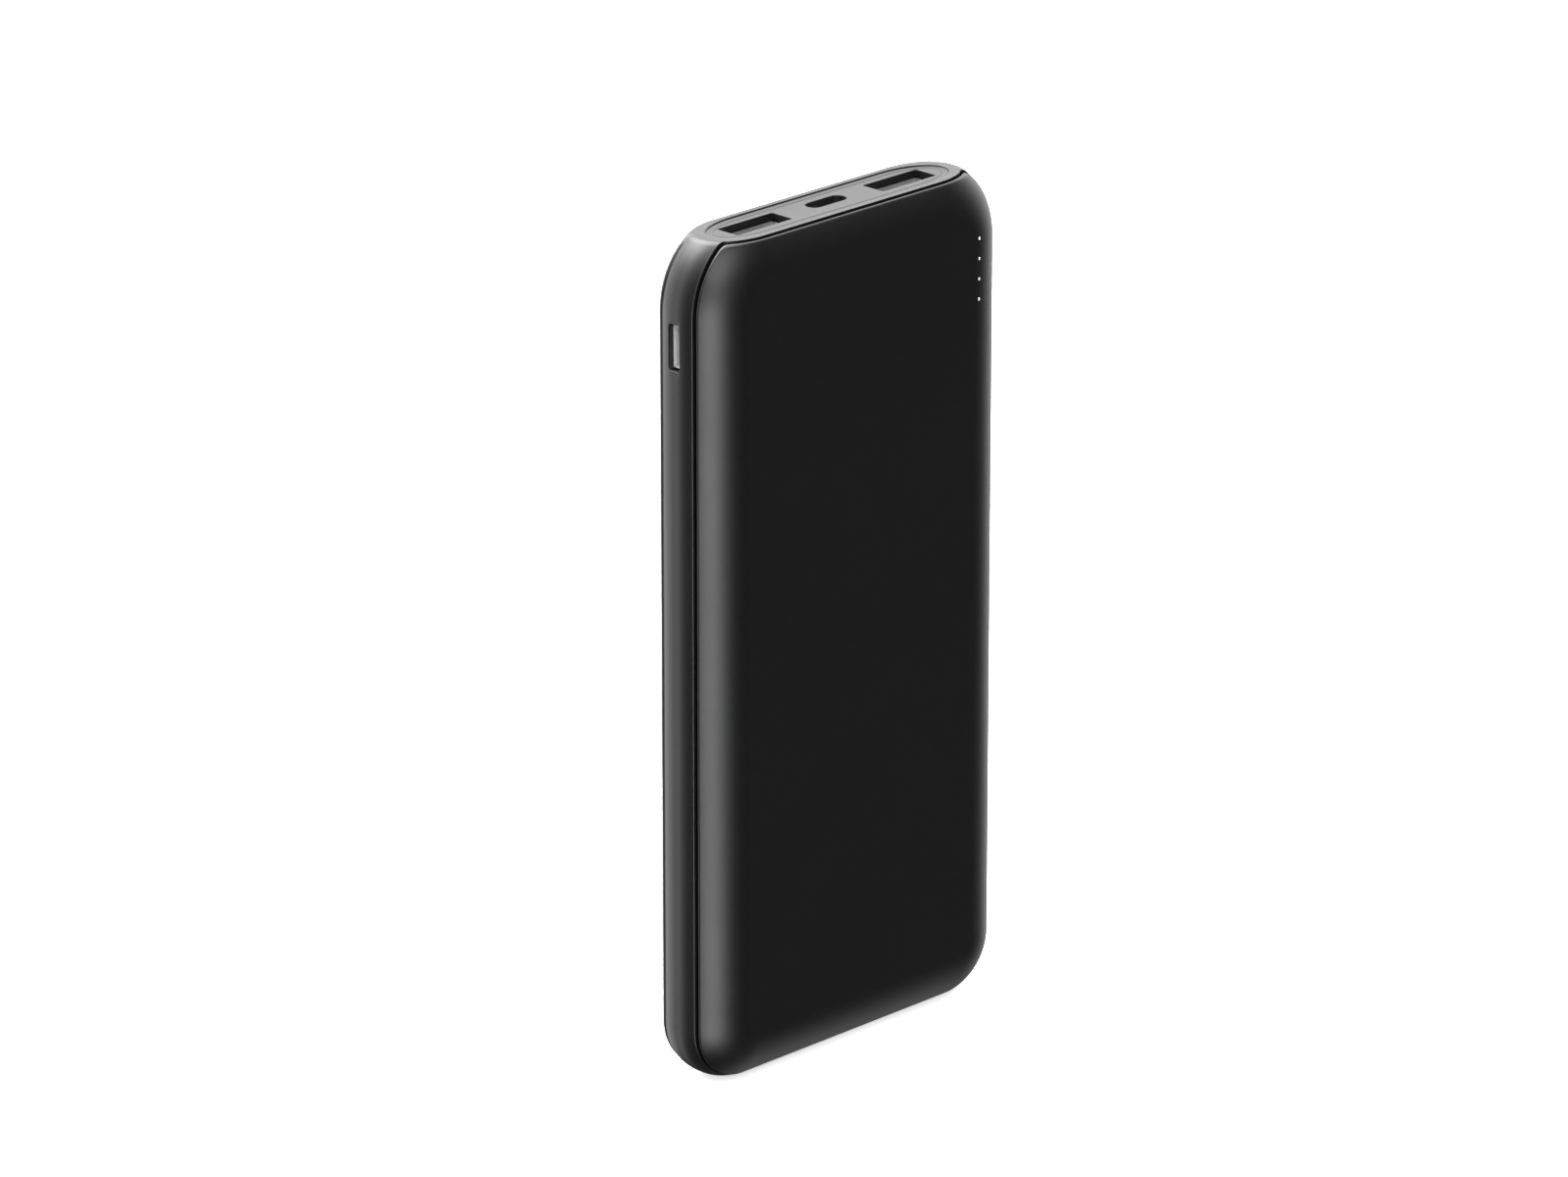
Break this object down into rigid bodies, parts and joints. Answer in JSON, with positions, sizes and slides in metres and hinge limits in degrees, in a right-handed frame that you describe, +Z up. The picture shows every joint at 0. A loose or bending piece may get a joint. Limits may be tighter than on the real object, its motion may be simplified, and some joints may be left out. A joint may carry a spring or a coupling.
{
  "type": "power bank",
  "caption": "Slim matte black power bank with pillow-shaped covers around a band frame, charging ports in its flat top, a side charging socket, a row of charge lamps and a side button.",
  "frame": {"origin": "middle of the underside, which the part stands on", "axes": "+Z up from the base to the port end, -Y out of the front face with the charge lamps, +X to the right seen from the front"},
  "size_m": [0.0728, 0.0172, 0.151],
  "materials": {
    "soft_touch_black": "fine-grained soft-touch matte",
    "plate_black": "fine-grained matte",
    "port_black": "matte",
    "port_steel": "stamped and plated, satin",
    "contact_gold": "gold plated",
    "coil_ferrite": "moulded ferrite",
    "pouch_foil": "satin laminate foil",
    "nickel_strip": "bright strip",
    "foam_grey": "closed-cell foam",
    "board_green": "solder-mask satin",
    "chip_black": "moulded epoxy",
    "capacitor_tan": "sintered",
    "lamp_white": "milky translucent",
    "lead_red": "smooth sleeve",
    "lead_black": "smooth sleeve"
  },
  "bodies": {
    "case": {"back_cover": "soft_touch_black", "battery_lead_negative": "lead_black", "battery_lead_positive": "lead_red", "board_screw_left": "port_steel", "board_screw_right": "port_steel", "boost_inductor": "coil_ferrite", "capacitor_1": "capacitor_tan", "capacitor_2": "capacitor_tan", "cell_back": "pouch_foil", "cell_back_tab_negative": "nickel_strip", "cell_back_tab_positive": "nickel_strip", "cell_front": "pouch_foil", "cell_front_tab_negative": "nickel_strip", "cell_front_tab_positive": "nickel_strip", "cell_pad_back": "foam_grey", "cell_pad_front": "foam_grey", "cell_spacer": "foam_grey", "charge_inductor": "coil_ferrite", "charger_chip": "chip_black", "circuit_board": "board_green", "controller_chip": "chip_black", "front_cover": "soft_touch_black", "led_1": "lamp_white", "led_2": "lamp_white", "led_3": "lamp_white", "led_4": "lamp_white", "light_guide": "lamp_white", "micro_usb_shell": "port_steel", "micro_usb_tongue": "port_black", "mid_frame": "soft_touch_black", "port_plate": "plate_black", "protection_chip": "chip_black", "switch_body": "port_steel", "tab_link_negative": "nickel_strip", "tab_link_positive": "nickel_strip", "usb_a_contact_left_1": "contact_gold", "usb_a_contact_left_2": "contact_gold", "usb_a_contact_left_3": "contact_gold", "usb_a_contact_left_4": "contact_gold", "usb_a_contact_right_1": "contact_gold", "usb_a_contact_right_2": "contact_gold", "usb_a_contact_right_3": "contact_gold", "usb_a_contact_right_4": "contact_gold", "usb_a_shell_left": "port_steel", "usb_a_shell_right": "port_steel", "usb_a_tongue_left": "port_black", "usb_a_tongue_right": "port_black", "usb_c_shell": "port_steel", "usb_c_tongue": "port_black"},
    "button": {"power_button": "soft_touch_black", "switch_plunger": "chip_black"}
  },
  "joints": [
    {"name": "button_press", "type": "slide", "parent": "case", "child": "button", "axis": [-1, 0, 0], "range_m": [0, 0.0003], "stiffness_N_per_m": 4000, "springref_m": -0.0001}
  ]
}
